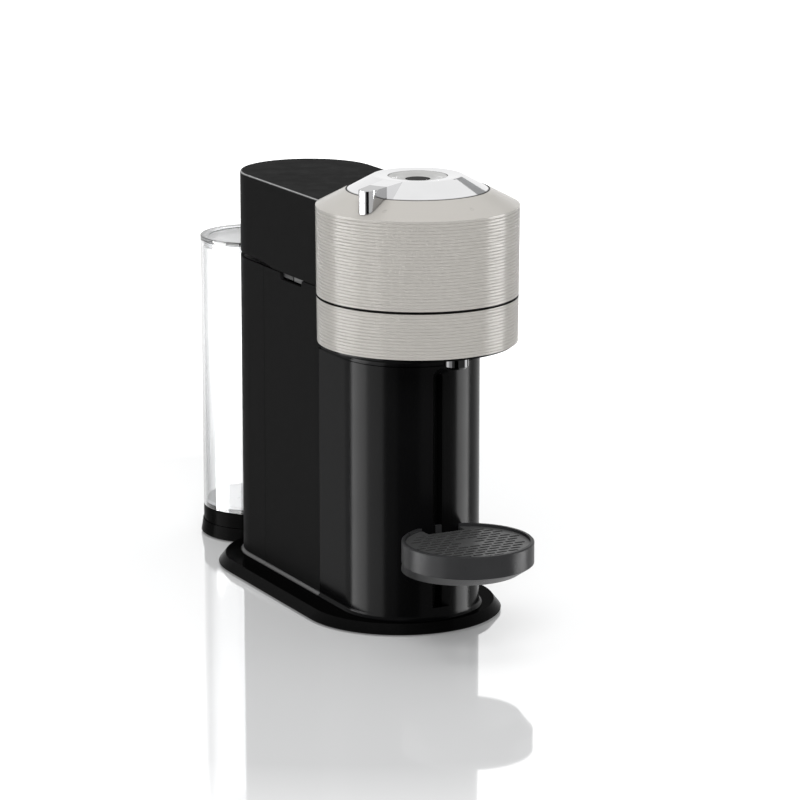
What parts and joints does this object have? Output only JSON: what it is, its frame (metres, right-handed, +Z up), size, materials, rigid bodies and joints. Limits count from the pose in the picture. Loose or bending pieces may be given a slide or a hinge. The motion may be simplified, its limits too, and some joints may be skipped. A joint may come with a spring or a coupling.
{
  "type": "pod coffee machine",
  "caption": "Compact pod coffee machine: ringed lifting head with lock lever, slotted column holding the pod bin, height-set cup support and a round clear water tank behind.",
  "frame": {"origin": "on the table under the middle of the machine's outline", "axes": "+Z up, -Y towards the cup (front), +X to the right seen from the front"},
  "size_m": [0.142, 0.4253, 0.3139],
  "materials": {
    "gloss_black": "polished",
    "matte_black": "fine matt",
    "inner_black": "moulded",
    "warm_grey": "satin, ringed",
    "rubber_black": "dull",
    "steel": "plain",
    "chrome": "mirror",
    "chrome_plated": "mirror",
    "satin_silver": "satin",
    "lens_black": "clear over black",
    "motor_metal": "plain",
    "pump_body": "moulded",
    "heater_metal": "cast",
    "inner_white": "moulded",
    "board_green": "lacquered",
    "lug_grey": "moulded",
    "clamp_grey": "moulded",
    "cup_metal": "turned",
    "pulley_brass": "turned",
    "dark_grey": "satin",
    "grid_black": "fine matt",
    "clear_tank": "clear, moulded",
    "clear_lid": "clear, moulded",
    "pale_grey": "moulded"
  },
  "bodies": {
    "frame": {"base_plate": "gloss_black", "foot_front": "rubber_black", "foot_left": "rubber_black", "foot_right": "rubber_black", "foot_rear_left": "rubber_black", "foot_rear_right": "rubber_black", "foot_tank": "rubber_black", "base_screws": "steel", "chassis": "inner_black", "side_panel_left": "matte_black", "side_panel_right": "matte_black", "rear_shell": "matte_black", "body_deck": "inner_black", "lower_band": "warm_grey", "collar": "gloss_black", "spout": "chrome", "collector": "inner_black", "rim_plate": "inner_black", "hinge_bracket": "steel", "hinge_pin": "steel", "cord_gland": "rubber_black", "rotor_bearing": "steel", "drive_belt": "rubber_black", "motor": "motor_metal", "pump": "pump_body", "pump_mount_low": "rubber_black", "pump_mount_top": "rubber_black", "heater_block": "heater_metal", "flow_meter": "inner_white", "tube_inlet": "inner_white", "tube_pump": "inner_white", "tube_heater": "inner_white", "control_board": "board_green", "tank_stand": "gloss_black", "tank_seal": "rubber_black"},
    "head": {"head_shell": "warm_grey", "head_cover": "matte_black", "head_floor": "inner_black", "side_lugs": "lug_grey", "clamp_carrier": "inner_black", "lever_carrier": "inner_black", "button_tower": "inner_black", "button_spring": "steel"},
    "lever": {"lever_dome": "chrome_plated"},
    "button": {"button_ring": "satin_silver", "button_lens": "lens_black"},
    "clamp": {"clamp_bell": "clamp_grey", "pierce_needle": "steel"},
    "turning_cup": {"rotor": "cup_metal"},
    "motor_turn": {"motor_pulley": "pulley_brass"},
    "bin": {"column_bin": "gloss_black"},
    "support": {"cup_support": "dark_grey"},
    "tray": {"drip_tray": "inner_black"},
    "grid": {"drip_grid": "grid_black"},
    "tank": {"tank_wall": "clear_tank", "tank_ring": "gloss_black", "tank_floor": "pale_grey", "valve_spring": "steel"},
    "lid": {"tank_lid": "clear_lid"},
    "valve": {"tank_valve": "inner_white"}
  },
  "joints": [
    {"name": "head_lift", "type": "hinge", "parent": "frame", "child": "head", "pos_m": [0, 0.11015, 0.2855], "axis": [-1, 0, 0], "range_deg": [0, 25]},
    {"name": "lever_turn", "type": "hinge", "parent": "head", "child": "lever", "pos_m": [0, -0.09335, 0.3], "axis": [0, 0, 1], "range_deg": [0, 60]},
    {"name": "button_press", "type": "slide", "parent": "head", "child": "button", "axis": [0, 0, -1], "range_m": [0, 0.0015], "stiffness_N_per_m": 600, "springref_m": -0.003},
    {"name": "clamp_spin", "type": "hinge", "parent": "head", "child": "clamp", "pos_m": [0, -0.09335, 0.24], "axis": [0, 0, 1], "continuous": true},
    {"name": "cup_spin", "type": "hinge", "parent": "frame", "child": "turning_cup", "pos_m": [0, -0.09335, 0.2], "axis": [0, 0, 1], "continuous": true},
    {"name": "motor_spin", "type": "hinge", "parent": "frame", "child": "motor_turn", "pos_m": [0, 0.00165, 0.19], "axis": [0, 0, 1], "continuous": true},
    {"name": "bin_slide", "type": "slide", "parent": "frame", "child": "bin", "axis": [0, -1, 0], "range_m": [0, 0.11]},
    {"name": "support_height", "type": "slide", "parent": "bin", "child": "support", "axis": [0, 0, 1], "range_m": [-0.03, 0.06]},
    {"name": "tray_lift", "type": "slide", "parent": "support", "child": "tray", "axis": [0, 0, 1], "range_m": [0, 0.05]},
    {"name": "grid_lift", "type": "slide", "parent": "tray", "child": "grid", "axis": [0, 0, 1], "range_m": [0, 0.04]},
    {"name": "tank_lift", "type": "slide", "parent": "frame", "child": "tank", "axis": [0, 0, 1], "range_m": [0, 0.12]},
    {"name": "lid_lift", "type": "slide", "parent": "tank", "child": "lid", "axis": [0, 0, 1], "range_m": [0, 0.05]},
    {"name": "valve_lift", "type": "slide", "parent": "tank", "child": "valve", "axis": [0, 0, 1], "range_m": [0, 0.002], "stiffness_N_per_m": 150, "springref_m": -0.002}
  ],
  "couplings": [
    {"joint": "motor_spin", "follows": "cup_spin", "ratio": 2.5},
    {"joint": "clamp_spin", "follows": "cup_spin", "ratio": 1}
  ]
}
